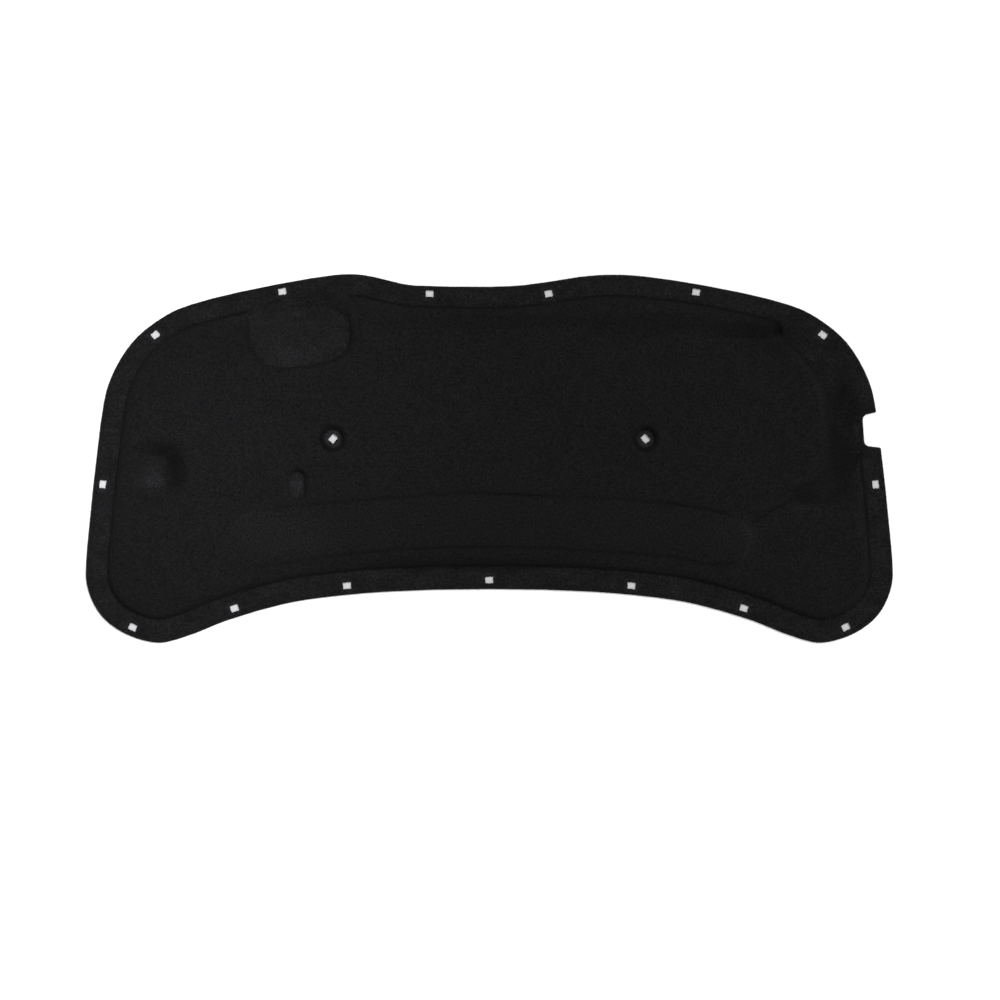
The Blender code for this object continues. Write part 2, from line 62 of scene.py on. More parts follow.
# How the felt's form is read off the solid and softened
mould = {
    "mapStep": 0.8 * mm,         # spacing of the height maps
    "mapMargin": 8 * mm,
    "footSoft": 0.8 * mm,        # rounding where a wall meets the pressed felt
    "edgeSoft": 2.0 * mm,        # rounding of every raised edge
    "shoulderSoft": 5.5 * mm,    # wide shoulder that only the high walls have
    "shoulderSlack": 1.0 * mm,   # how much of the wide rounding the felt resists
    "levelSoft": 11 * mm,        # rounding where the floor of the bay runs on to the rim
    "pressedThick": 4 * mm,      # taken where the maps have no felt
    "loftFrom": 4.5 * mm,        # the felt is loose where it is thicker than this,
    "loftOver": 3 * mm,          # and fully so where it is this much thicker still
    "loftSoft": 3 * mm,
    "waveHeight": 0.45 * mm,     # slow unevenness of the loose felt
    "waveLength": 120 * mm,
    "waveDetail": (0.8, 2.1, 3),    # fineness, step in scale and number of layers
    "creaseWidth": 2.4 * mm,
    "sharpAngle": 50,            # degrees: a bend as sharp as this stays a corner
}

# Spacing of the points that the felt's two sides are made of, and their least distance to others
net = {
    "open": 4.4 * mm, "openClear": 2.2 * mm,          # open felt
    "relief": 1.9 * mm, "reliefClear": 1.0 * mm,      # near the reliefs and creases
    "hidden": 12 * mm, "hiddenClear": 4 * mm,         # the side that faces the hood
    "line": 2.0 * mm,            # along the edges of the reliefs and the die-cut outline
    "hole": 1.0 * mm,            # round the holes
    "lineAngle": 14,             # degrees: a bend as sharp as this is an edge of a relief
    "busyFrom": 0.25 * mm,       # how much relief asks for the closer points
    "busySoft": 2.0 * mm,
    "creaseShare": 6,
    "weld": 0.3 * mm,            # corners of a ring closer than this are one
}

# How the loose felt swells between the places that the press holds
swell = {
    "step": 9 * mm,              # spacing of the cloth's points
    "outlineLeast": 7 * mm, "outlineStep": 12 * mm, "outlineClear": 6 * mm,
    "heldThick": 10.5 * mm,      # felt thinner than this is held,
    "heldOver": 3 * mm,          # and fully so this much thinner
    "quality": 5,
    "mass": 0.3,
    "stiffness": 15,
    "bending": 2,
    "pressure": 4,
    "frames": 20,
    "most": 1.3 * mm,            # the swell is drawn back to this
    "soft": 4 * mm,
}

# Creases that the handling left in the lofted felt: depth, then points of the line, all in mm
creases = [
    (0.3, (463, -63), (449, -71), (434, -80), (404, -98)),
    (0.4, (571, 17), (573, -19), (577, -62), (581, -102)),
    (0.18, (-284, -11), (-245, -13), (-205, -13), (-160, -11)),
]

# Section of a die-cut edge from the engine side down: share of the thickness, distance outward
cutEdge = {
    "steps": [(1.0, -0.5 * mm), (0.87, -0.05 * mm), (0.55, 0.12 * mm), (0.13, 0.0 * mm),
              (0.0, -0.35 * mm)],
    "ragged": 0.16 * mm,
    "holeRagged": 0.9 * mm,
    "raggedLength": 2.2 * mm,
    "wallStretch": 2 * mm,       # how far the raggedness changes down the wall
    "weld": 0.002 * mm,
}

# Where the felt reads lighter or darker than its neighbours: x, y, half sizes (mm), how much
# Most of these are painted shade and painted highlights on the reliefs; the floors of the pocket,
# the recess and the wells are the lighter tone of pressed felt
marks = {
    "shade": [
        (545, 40, 26, 95, -0.45),      # painted shade on the floor of the bay, the rim beside it and the slopes before it
        (515, 112, 34, 60, -0.14),
        (566, 96, 36, 50, -0.14),
        (500, 172, 60, 50, -0.14),
        (440, 196, 50, 34, -0.2),
        (444, 199, 8, 12, -0.5),       # painted shade in the corner at the end of the right front slope
        (395, 196, 62, 15, -0.38),     # painted shade below the front edge of the right lobe
        (250, 208, 115, 15, -0.24),
        # painted highlight along the shoulder above the right lobe's front slope
        (375, 181, 66, 2.4, 0.25),
        (0, 212, 130, 13, -0.16),      # painted shade below the edge of the dip
        # painted shade on the left front slope
        (-242, 244, 45, 22, -0.14),
        (-300, 236, 82, 24, -0.14),
        (488, -58, 21, 11, -0.3),      # painted shade at the foot of the lobe beside the rear of the bay
        (502, -83, 74, 12, 0.1),
        (565, 44, 6, 9, 0.5),          # bulge beside the notch
        (-290, 182, 74, 52, 0.12),     # floor of the pocket
        (-290, 152, 72, 22, 0.2),
        (-316, -118, 72, 34, 0.28),    # painted highlight on the ends of the raised panel
        (378, -112, 42, 26, 0.16),
        (-30, -161, 190, 13, -0.3),    # painted shade between the panel and the rear rim
        (-297, -41, 13, 24, 0.42),     # floor of the recess
        (-519, -36, 24, 11, 0.3),      # floor of the dimple and the wall in its shade
        (-480, -22, 18, 30, -0.48),
        (-488, 6, 24, 17, -0.3),
        (-512, 17, 34, 12, -0.36),
        (-518, -60, 28, 7, -0.16),
    ],
    # Lighter along convex bends, a painted highlight on the shoulders at the right end
    "drawn": [
        (478, 133, 44, 44, 0.3),
        (507, 75, 16, 50, 0.25),
        (573, -125, 22, 75, 0.3),
    ],
    # Painted shade along the feet of the walls; marks below zero weaken it, and the strongest turn
    # it into a painted highlight
    "paintedFootShade": [
        (-298, 238, 88, 30, -0.85),    # the painted shade at the foot fades out on the left front slope
        (-226, 228, 34, 22, -0.8),
        (500, 60, 48, 108, -0.8),      # and under the end of the lobe
        (-389, -117, 46, 50, -2.5),    # the ends of the panel catch the light instead
        (-306, -156, 80, 14, -0.8),
        (-320, -80, 60, 12, -0.6),
        (397, -128, 26, 40, -2.4),
        (37, -57, 52, 8, 0.7),
        (314, -79, 70, 18, 0.7),
        (0, 232, 600, 60, 0.5),        # painted shade deeper along the front and the right side
        (592, -120, 34, 110, 0.4),
        (552, -42, 21, 42, -1.0),
    ],
    "lip": [(-290, 172, 95, 50, 0.62)],    # the pocket's upper edge gets painted shade too
    "level": [(556, -22, 20, 46, 1.0)],    # the bay's floor runs on to the rim here
    "ring": [(-240, 30.5, 17.6, 3.3, -0.66), (240, 30.5, 17.6, 3.3, -0.56)],    # painted shade on the walls of the wells
    "floor": [(-240, 30.5, 9, 6.5, 1.15), (240, 30.5, 9, 6.5, 0.8)],
}

# How wide and how strong the felt's tones are where it is pressed, drawn over an edge (partly a
# painted highlight) or cut, and the painted shade along the feet of its walls
shading = {
    "pressedFrom": 5.8 * mm, "pressedOver": 1.8 * mm,    # thickness
    "bendSoft": (1.6 * mm, 4.5 * mm), "bendFull": 0.45 * mm, "drawnAndHighlightShare": 0.1,
    "topShare": 0.6,             # share of the thickness above which a point is on the engine side
    "footAngle": 9, "footAngleFull": 24,    # degrees: a hollow bend whose painted shade shows, and one in full
    "footStep": 0.8 * mm,
    "lowFoot": 6 * mm, "highFootShare": 0.4,
    "leastShare": 0.02,
    "footWidth": 1.9 * mm,
    "wallFrom": 4.2 * mm, "wallOver": 0.8 * mm,    # thickness at which a wall starts
    "wallShare": 0.55, "wallReach": 6 * mm,        # its painted shade fades away from the foot
    "paintedFootShadeMark": (-1.5, 2), "paintedFootShadeRange": (-0.7, 1.15),
    "creaseLeast": 0.02 * mm, "creaseFull": 0.5 * mm,
    "seatFrom": 8 * mm, "seatOver": 3 * mm,        # the seats of the clips are shallow
    "wellsRow": 31 * mm, "wellsReach": 8 * mm,     # holes on this line have no seat
    # Bands beside a cut edge: distance from it, half width, share
    "seatBands": ((2.6 * mm, 3.0 * mm, 0.3), (8.2 * mm, 1.6 * mm, -0.22)),
    "edgeBands": ((0, 1.1 * mm, 0.45), (4.6 * mm, 1.9 * mm, -0.2)),
    "ringLeaning": 0.45, "litFrom": (0.64, 0.77),  # the key light's way over the plan
}


def markStrength(name, points):
    total = np.zeros(len(points))
    for x, y, halfX, halfY, strength in marks[name]:
        far = ((points[:, 0] / mm - x) / halfX) ** 2 + ((points[:, 1] / mm - y) / halfY) ** 2
        total += strength * np.exp(-far ** 2)
    return total


def ringStrength(name, points, leaning):
    # Rings round the wells; a leaning above 0 makes them stronger away from the key light
    total = np.zeros(len(points))
    for x, y, radius, halfWidth, strength in marks[name]:
        away = points / mm - (x, y)
        far = np.maximum(np.linalg.norm(away, axis=1), 0.01)
        side = -(away / far[:, None]) @ np.array(shading["litFrom"])
        total += strength * (1 + leaning * side) * np.exp(-((far - radius) / halfWidth) ** 2)
    return total


def addObject(name, data):
    made = bpy.data.objects.new(name, data)
    bpy.context.scene.collection.objects.link(made)
    return made


def mergedCopy(node):
    # The node's loose triangles joined into one closed mesh
    bm = bmesh.new()
    bm.from_mesh(node.data)
    bmesh.ops.remove_doubles(bm, verts=bm.verts, dist=0.001 * mm)
    bm.normal_update()
    return bm


def heightMap(solid, facing):
    # Height of the faces that look up (facing 1) or down (facing -1), as a grid over the pad
    step, margin = mould["mapStep"], mould["mapMargin"]
    origin = np.array([cadLow.x - margin, cadLow.y - margin])
    size = np.ceil((np.array([cadHigh.x, cadHigh.y]) + margin - origin) / step).astype(int) + 1
    grid = np.full((size[1], size[0]), np.nan)
    for face in solid.faces:
        if face.normal.z * facing < 0.01:
            continue
        a, b, c = [np.array(v.co) for v in face.verts[:3]]
        corners = np.array([a, b, c])
        first = np.maximum(np.ceil((corners[:, :2].min(0) - origin) / step - 1e-6).astype(int), 0)
        last = np.floor((corners[:, :2].max(0) - origin) / step + 1e-6).astype(int)
        if (last < first).any():
            continue
        xs = origin[0] + np.arange(first[0], last[0] + 1) * step
        ys = origin[1] + np.arange(first[1], last[1] + 1) * step
        px, py = np.meshgrid(xs, ys)
        ab, ac = b - a, c - a
        twice = ab[0] * ac[1] - ab[1] * ac[0]
        u = ((px - a[0]) * ac[1] - (py - a[1]) * ac[0]) / twice
        v = (ab[0] * (py - a[1]) - ab[1] * (px - a[0])) / twice
        inside = (u > -1e-6) & (v > -1e-6) & (u + v < 1 + 1e-6)
        patch = grid[first[1]:last[1] + 1, first[0]:last[0] + 1]
        patch[inside] = (a[2] + ab[2] * u + ac[2] * v)[inside]
    return grid, origin


def blurred(grid, spread):
    # Gaussian blur that leaves out the places with no felt
    reach = int(math.ceil(spread / mould["mapStep"] * 3))
    offsets = np.arange(-reach, reach + 1)
    weights = np.exp(-0.5 * (offsets * mould["mapStep"] / spread) ** 2)
    solidPart = ~np.isnan(grid)
    total, share = np.where(solidPart, grid, 0.0), solidPart.astype(float)
    for axis in (0, 1):
        totalNow, shareNow = np.zeros_like(total), np.zeros_like(share)
        for offset, weight in zip(offsets, weights):
            totalNow += np.roll(total, offset, axis) * weight
            shareNow += np.roll(share, offset, axis) * weight
        total, share = totalNow, shareNow
    return np.where(share > 1e-9, total / np.maximum(share, 1e-9), np.nan)


def readMap(grid, origin, points):
    # Bilinear reading of a map at points of the plan
    at = (np.asarray(points) - origin) / mould["mapStep"]
    low = np.clip(np.floor(at).astype(int), 0, np.array(grid.shape[::-1]) - 2)
    fx, fy = (at - low).T
    x, y = low.T
    near = grid[y, x] * (1 - fx) + grid[y, x + 1] * fx
    far = grid[y + 1, x] * (1 - fx) + grid[y + 1, x + 1] * fx
    return near * (1 - fy) + far * fy


def cutLoops(solid):
    # Outline, notch and clip holes, as closed rings of corners on the underside
    walls = {}
    for edge in solid.edges:
        upright = [f for f in edge.link_faces if abs(f.normal.z) < 0.02]
        level = [f for f in edge.link_faces if f.normal.z < -0.98]
        if len(upright) == 1 and len(level) == 1:
            a, b = edge.verts
            walls.setdefault(a, []).append(b)
            walls.setdefault(b, []).append(a)
    loops, seen = [], set()
    for start in walls:
        if start in seen:
            continue
        ring, here = [], start
        while here is not None:
            ring.append(here)
            seen.add(here)
            here = next((v for v in walls[here] if v not in seen), None)
        loops.append(np.array([v.co[:2] for v in ring]))
    return sorted(loops, key=len, reverse=True)


def divided(a, b, step):
    # Points from a to b, about a step apart
    count = max(1, round(np.linalg.norm(b - a) / step))
    return [a + (b - a) * i / count for i in range(count + 1)]


def resampled(ring, step):
    # A closed ring with its corners kept and its long sides divided
    points = []
    for a, b in zip(ring, np.roll(ring, -1, axis=0)):
        points += divided(a, b, step)[:-1]
    return np.array(points)


def withoutCrowding(ring, least):
    # A ring without the points that come closer than this to the one before
    kept = [ring[0]]
    for point in ring[1:]:
        if np.linalg.norm(point - kept[-1]) > least:
            kept.append(point)
    return np.array(kept)


def outwardOf(ring, isHole):
    # Directions out of the felt, square to the ring
    along = np.roll(ring, -1, axis=0) - np.roll(ring, 1, axis=0)
    along /= np.linalg.norm(along, axis=1)[:, None]
    square = np.column_stack([along[:, 1], -along[:, 0]])
    turning = np.sum(ring[:, 0] * np.roll(ring[:, 1], -1) - np.roll(ring[:, 0], -1) * ring[:, 1])
    return square if (turning > 0) != isHole else -square


def reliefLines(solid):
    # Edges where the engine side bends sharply: feet and shoulders of the walls
    lines = []
    for edge in solid.edges:
        if len(edge.link_faces) != 2 or any(f.normal.z < 0.05 for f in edge.link_faces):
            continue
        if math.degrees(edge.calc_face_angle()) >= net["lineAngle"]:
            lines.append([np.array(v.co[:2]) for v in edge.verts])
    return lines


def creaseLines():
    # The creases as short straight pieces, each with its depth
    pieces = []
    for depth, *points in creases:
        points = [np.array(p) * mm for p in points]
        pieces += [(a, b, depth * mm) for a, b in zip(points, points[1:])]
    return pieces


def creaseDepth(points):
    # How deep the creases press the felt down at points of the plan
    depth = np.zeros(len(points))
    for a, b, deep in creaseLines():
        share = np.clip((points - a) @ (b - a) / np.sum((b - a) ** 2), 0, 1)
        far = np.linalg.norm(points - a - share[:, None] * (b - a), axis=1)
        depth = np.maximum(depth, deep * np.exp(-(far / mould["creaseWidth"]) ** 2))
    return depth


def footPoints(solid):
    # Points along the hollow edges of the engine side, where shade is painted: x, y and how much
    # each one shows
    rows = []
    for edge in solid.edges:
        if len(edge.link_faces) != 2 or any(f.normal.z < 0.05 for f in edge.link_faces):
            continue
        angle = math.degrees(edge.calc_face_angle())
        if angle < shading["footAngle"]:
            continue
        a, b = [np.array(v.co) for v in edge.verts]
        count = max(1, math.ceil(np.linalg.norm(b - a) / shading["footStep"]))
        share = 1.0 if min(a[2], b[2]) < shading["lowFoot"] else shading["highFootShare"]
        # convex edges get painted shade only where the lip marks put it
        if edge.is_convex:
            share = markStrength("lip", np.array([(a + b)[:2] / 2]))[0]
        if share < shading["leastShare"]:
            continue
        shows = min(angle / shading["footAngleFull"], 1) * share
        rows += [(*(a + (b - a) * i / count)[:2], shows) for i in range(count + 1)]
    return np.array(rows)


def hexGrid(step):
    # Points of a triangular grid over the pad
    rows = []
    y, odd = cadLow.y, False
    while y < cadHigh.y:
        xs = np.arange(cadLow.x + (step / 2 if odd else 0), cadHigh.x, step)
        rows.append(np.column_stack([xs, np.full(len(xs), y)]))
        y += step * math.sqrt(0.75)
        odd = not odd
    return np.vstack(rows)


def nearest(points, others, values=None):
    # Distance to the nearest of other points, and that one's value
    tree = KDTree(len(others))
    for i, p in enumerate(others):
        tree.insert((p[0], p[1], 0), i)
    tree.balance()
    found = [tree.find((p[0], p[1], 0)) for p in points]
    distance = np.array([f[2] for f in found])
    return distance if values is None else (distance, values[[f[1] for f in found]])


def feltSheet(loops, lines, scattered):
    # One flat triangulated sheet with the rings as its borders and an edge along every line
    points, edges = [], []
    for ring in loops:
        first = len(points)
        points += [Vector(p) for p in ring]
        edges += [(first + i, first + (i + 1) % len(ring)) for i in range(len(ring))]
    border = list(range(len(loops[0])))
    holeOf = np.zeros(len(points), int)
    at = len(loops[0])
    for number, ring in enumerate(loops[1:], 1):
        holeOf[at:at + len(ring)] = number
        at += len(ring)
    for a, b in lines:
        first = len(points)
        points += [Vector(p) for p in divided(a, b, net["line"])]
        edges += [(i, i + 1) for i in range(first, len(points) - 1)]
    points += [Vector(p) for p in scattered]
    verts, _, faces, fromVerts, _, _ = delaunay_2d_cdt(points, edges, [border], 1, 0.02 * mm)
    hole = [max([holeOf[i] if i < len(holeOf) else 0 for i in source], default=0)
            for source in fromVerts]
    bm = bmesh.new()
    ringPoint = bm.verts.layers.int.new("ringPoint")
    made = [bm.verts.new((v.x, v.y, 0)) for v in verts]
    for vert, source in zip(made, fromVerts):
        vert[ringPoint] = max([i + 1 for i in source if i < len(holeOf)], default=0)
    for face in faces:
        holes = {hole[i] for i in face}
        if len(holes) > 1 or 0 in holes:
            bm.faces.new([made[i] for i in face])
    bmesh.ops.delete(bm, geom=[v for v in bm.verts if not v.link_faces], context="VERTS")
    bmesh.ops.recalc_face_normals(bm, faces=bm.faces)
    if sum(f.normal.z for f in bm.faces) < 0:
        bmesh.ops.reverse_faces(bm, faces=bm.faces)
    return bm


def setHeights(sheet, levels):
    points = np.array([v.co[:2] for v in sheet.verts])
    for vert, level in zip(sheet.verts, levels(points)):
        vert.co.z = level


def waves(points):
    # Slow unevenness of a felt that has been pressed hot and let cool
    scale = 1 / mould["waveLength"]
    places = [(p[0] * scale, p[1] * scale * 1.3, 3.1) for p in points]
    return np.array([noise.fractal(place, *mould["waveDetail"]) for place in places])


def swellMap(loops, soft, under, origin):
    # The loose felt swells a little between the places that the press holds, found with a cloth
    outline = resampled(withoutCrowding(loops[0], swell["outlineLeast"]), swell["outlineStep"])
    points = hexGrid(swell["step"])
    points = points[~np.isnan(readMap(soft, origin, points))]
    sheet = feltSheet([outline], [], points[nearest(points, outline) > swell["outlineClear"]])
    thick = mould["pressedThick"]
    setHeights(sheet, lambda at: np.nan_to_num(readMap(soft, origin, at), nan=thick))
    mesh = bpy.data.meshes.new("swell")
    sheet.to_mesh(mesh)
    sheet.free()
    cloth = addObject("swell", mesh)
    start = np.array([v.co for v in mesh.vertices])
    thickness = np.nan_to_num(readMap(soft - under, origin, start[:, :2]), nan=thick)
    weights = np.clip((swell["heldThick"] - thickness) / swell["heldOver"], 0, 1)
    held = cloth.vertex_groups.new(name="held")
    for index, weight in enumerate(weights):
        held.add([index], float(weight), "REPLACE")
    modifier = cloth.modifiers.new("cloth", "CLOTH")
    modifier.point_cache.frame_start = 1
    modifier.point_cache.frame_end = swell["frames"]
    settings = modifier.settings
    settings.quality = swell["quality"]
    settings.mass = swell["mass"]
    settings.tension_stiffness = settings.compression_stiffness = swell["stiffness"]
    settings.bending_stiffness = swell["bending"]
    settings.vertex_group_mass = "held"
    settings.use_pressure = True
    settings.uniform_pressure_force = swell["pressure"]
    settings.effector_weights.gravity = 0
    for number in range(1, swell["frames"] + 1):
        bpy.context.scene.frame_set(number)
    swollen = cloth.evaluated_get(bpy.context.evaluated_depsgraph_get())
    rise = np.array([v.co.z for v in swollen.data.vertices]) - start[:, 2]
    bpy.context.scene.frame_set(1)
    lift = max(float(np.percentile(rise, 90)), 0.01 * mm)
    most = swell["most"]
    print("felt swollen: %.2f mm over most of it, drawn back to %.1f mm" % (lift / mm, most / mm))
    bm = bmesh.new()
    bm.from_mesh(mesh)
    for vert, height in zip(bm.verts, most * np.tanh(rise / lift)):
        vert.co.z = height
    bm.normal_update()
    risen, _ = heightMap(bm, 1)
    bm.free()
    bpy.data.objects.remove(cloth)
    bpy.data.meshes.remove(mesh)
    return np.nan_to_num(blurred(risen, swell["soft"]))


def makeFelt(solid):
    # The felt's engine side and hidden side as two sheets with the same rings of border points
    topMap, origin = heightMap(solid, 1)
    underMap, _ = heightMap(solid, -1)
    fine = blurred(topMap, mould["footSoft"])
    soft = np.minimum(fine, blurred(topMap, mould["edgeSoft"]))
    wide = blurred(topMap, mould["shoulderSoft"])
    soft = np.minimum(soft, wide + mould["shoulderSlack"])
    rows, columns = np.mgrid[0:soft.shape[0], 0:soft.shape[1]]
    spots = origin + np.column_stack([columns.ravel(), rows.ravel()]) * mould["mapStep"]
    level = np.clip(markStrength("level", spots), 0, 1).reshape(soft.shape)
    soft = soft + (blurred(topMap, mould["levelSoft"]) - soft) * level
    under = blurred(underMap, mould["edgeSoft"])
    print("height maps read: %d x %d" % topMap.shape[::-1])

    loops = [withoutCrowding(ring, net["weld"]) for ring in cutLoops(solid)]
    soft = soft + swellMap(loops, soft, under, origin)
    cuts = [resampled(loops[0], net["line"])] + [resampled(r, net["hole"]) for r in loops[1:]]
    lines = reliefLines(solid) + [[a, b] for a, b, _ in creaseLines()]
    print("die-cut edges: %d, relief edges: %d" % (len(cuts), len(lines)))

    busy = blurred(np.abs(topMap - wide), net["busySoft"])
    linePoints = [p for a, b in lines for p in divided(a, b, net["line"])]
    fixed = np.vstack(cuts + [np.array(linePoints)])

    def scattered(kind, others, wanted):
        points = hexGrid(net[kind])
        height = readMap(topMap, origin, points)
        points = points[~np.isnan(height)]
        near = readMap(busy, origin, points) + creaseDepth(points) * net["creaseShare"]
        points = points[wanted(near)]
        return points[nearest(points, others) > net[kind + "Clear"]]

    reliefPoints = scattered("relief", fixed, lambda near: near > net["busyFrom"])
    taken = np.vstack([fixed, reliefPoints])
    openPoints = scattered("open", taken, lambda near: near <= net["busyFrom"])
    sheet = feltSheet(cuts, lines, np.vstack([reliefPoints, openPoints]))
    hidden = feltSheet(cuts, [], scattered("hidden", np.vstack(cuts), lambda near: near > -1))
    print("sheets: %d and %d triangles" % (len(sheet.faces), len(hidden.faces)))

    loose = (soft - blurred(underMap, mould["loftSoft"]) - mould["loftFrom"]) / mould["loftOver"]
    loose = np.clip(loose, 0, 1)

    def topLevels(points):
        wave = waves(points) * mould["waveHeight"] * readMap(loose, origin, points)
        return readMap(soft, origin, points) + wave - creaseDepth(points)

    setHeights(sheet, topLevels)
    setHeights(hidden, lambda points: readMap(under, origin, points))
    return sheet, hidden, cuts, (soft, under, origin)


def closeEdges(sheet, hidden, cuts):
    # Walls of the die cuts: the sheet's border is drawn out ring by ring down to the hidden side
    outward = np.vstack([outwardOf(ring, number > 0) for number, ring in enumerate(cuts)])
    rough = np.concatenate([np.full(len(ring), cutEdge["holeRagged" if number else "ragged"])
                            for number, ring in enumerate(cuts)])
    ringPoint = sheet.verts.layers.int["ringPoint"]
    hiddenPoint = hidden.verts.layers.int["ringPoint"]
    lowAt = {v[hiddenPoint]: v.co.z for v in hidden.verts if v[hiddenPoint]}
    top = {v[ringPoint]: v.co.copy() for v in sheet.verts if v[ringPoint]}
    border = [e for e in sheet.edges if e.is_boundary]

    def placed(number, share, reach):
        base = top[number]
        spot = Vector((base.x, base.y, share * cutEdge["wallStretch"])) / cutEdge["raggedLength"]
        reach += noise.noise(spot) * rough[number - 1]
        x, y = outward[number - 1] * reach
        return Vector((base.x + x, base.y + y, lowAt[number] + (base.z - lowAt[number]) * share))

    for vert in {v for e in border for v in e.verts}:
        vert.co = placed(vert[ringPoint], *cutEdge["steps"][0])
    for share, reach in cutEdge["steps"][1:]:
        drawn = bmesh.ops.extrude_edge_only(sheet, edges=border)["geom"]
        border = [g for g in drawn if isinstance(g, bmesh.types.BMEdge) and g.is_boundary]
        for vert in [g for g in drawn if isinstance(g, bmesh.types.BMVert)]:
            vert.co = placed(vert[ringPoint], share, reach)
    bmesh.ops.reverse_faces(hidden, faces=hidden.faces)
    for vert in hidden.verts:
        if vert[hiddenPoint]:
            vert.co = placed(vert[hiddenPoint], *cutEdge["steps"][-1])
    under = bpy.data.meshes.new("hiddenSide")
    hidden.to_mesh(under)
    hidden.free()
    sheet.from_mesh(under)
    bpy.data.meshes.remove(under)
    bmesh.ops.remove_doubles(sheet, verts=sheet.verts, dist=cutEdge["weld"])
    bmesh.ops.recalc_face_normals(sheet, faces=sheet.faces)
    return sheet


def smoothShaded(mesh):
    for polygon in mesh.polygons:
        polygon.use_smooth = True


solid = mergedCopy(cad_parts["insulation_pad"])
sheet, hidden, cuts, (soft, under, origin) = makeFelt(solid)
feet = footPoints(solid)
solid.free()
felt = closeEdges(sheet, hidden, cuts)
openEdges = sum(1 for e in felt.edges if len(e.link_faces) != 2)
triangles = sum(len(f.verts) - 2 for f in felt.faces)
print("felt closed: %d triangles, %d open edges" % (triangles, openEdges))

padMesh = bpy.data.meshes.new("moulded_felt")
felt.to_mesh(padMesh)
felt.free()
pad = addObject("moulded_felt", padMesh)
smoothShaded(padMesh)
padMesh.set_sharp_from_angle(angle=math.radians(mould["sharpAngle"]))


def addAttribute(mesh, name, values):
    layer = mesh.attributes.new(name, "FLOAT", "POINT")
    layer.data.foreach_set("value", np.ascontiguousarray(values, dtype=np.float32))


def ramp(values, start, over):
    # 0 up to the start, 1 from that far beyond it
    return np.clip((values - start) / over, 0, 1)


def markFelt(mesh):
    # Where the felt is pressed thin, drawn over an edge (partly a painted highlight) or cut, and
    # painted shade along the feet of its walls and in its creases
    co = np.zeros(len(mesh.vertices) * 3)
    mesh.vertices.foreach_get("co", co)
    co = co.reshape(-1, 3)
    plan = co[:, :2]
    thickness = np.nan_to_num(readMap(soft - under, origin, plan), nan=mould["pressedThick"])
    onTop = co[:, 2] > readMap(under, origin, plan) + shading["topShare"] * thickness
    pressed = np.clip((shading["pressedFrom"] - thickness) / shading["pressedOver"], 0, 1)

    close, broad = [blurred(soft, spread) for spread in shading["bendSoft"]]
    bend = np.nan_to_num(readMap(close - broad, origin, plan))
    # Lighter on convex bends: felt drawn over the edge, raised into a painted highlight where the
    # marks ask for it
    drawn = ramp(bend, 0, shading["bendFull"])
    drawn *= np.clip(shading["drawnAndHighlightShare"] + markStrength("drawn", plan), 0, 1)

    distance, shows = nearest(plan, feet, feet[:, 2])
    wallShade = shading["wallShare"] * ramp(thickness, shading["wallFrom"], shading["wallOver"])
    wallShade = wallShade * np.exp(-distance / shading["wallReach"])
    # painted shade at the feet of the walls, fading up each wall
    paintedFootShade = shows * (np.exp(-(distance / shading["footWidth"]) ** 2) + wallShade)
    paintedFootShade *= np.clip(1 + markStrength("paintedFootShade", plan), *shading["paintedFootShadeMark"])
    rimHoles = [ring for ring in cuts[1:]
                if abs(ring[:, 1].mean() - shading["wellsRow"]) > shading["wellsReach"]]
    toHole = nearest(plan, np.vstack(rimHoles))
    paintedFootShade *= ramp(toHole, shading["seatFrom"], shading["seatOver"])
    # painted shade in the creases too
    deep = creaseDepth(plan)
    paintedFootShade = np.where(deep > shading["creaseLeast"],
                      np.maximum(paintedFootShade, deep / shading["creaseFull"]), paintedFootShade)
    paintedFootShade = np.clip(paintedFootShade, *shading["paintedFootShadeRange"])

    # Painted shade and painted highlights from the marks, the lighter pressed floors of the wells,
    # and bands beside the cut edges
    shade = (1 + markStrength("shade", plan)) * (1 + ringStrength("floor", plan, 0))
    # painted shade on the wells' walls, stronger on the side away from the key light
    shade *= 1 + ringStrength("ring", plan, shading["ringLeaning"])
    for far, bands in ((toHole, "seatBands"), (nearest(plan, cuts[0]), "edgeBands")):
        for middle, halfWidth, share in shading[bands]:
            shade *= 1 + share * np.exp(-((far - middle) / halfWidth) ** 2)
    addAttribute(mesh, "pressed", pressed)
    addAttribute(mesh, "drawn", drawn * onTop)
    addAttribute(mesh, "paintedFootShade", paintedFootShade * onTop)
    addAttribute(mesh, "shade", shade)


markFelt(padMesh)
print("felt marked: %d foot points" % len(feet))


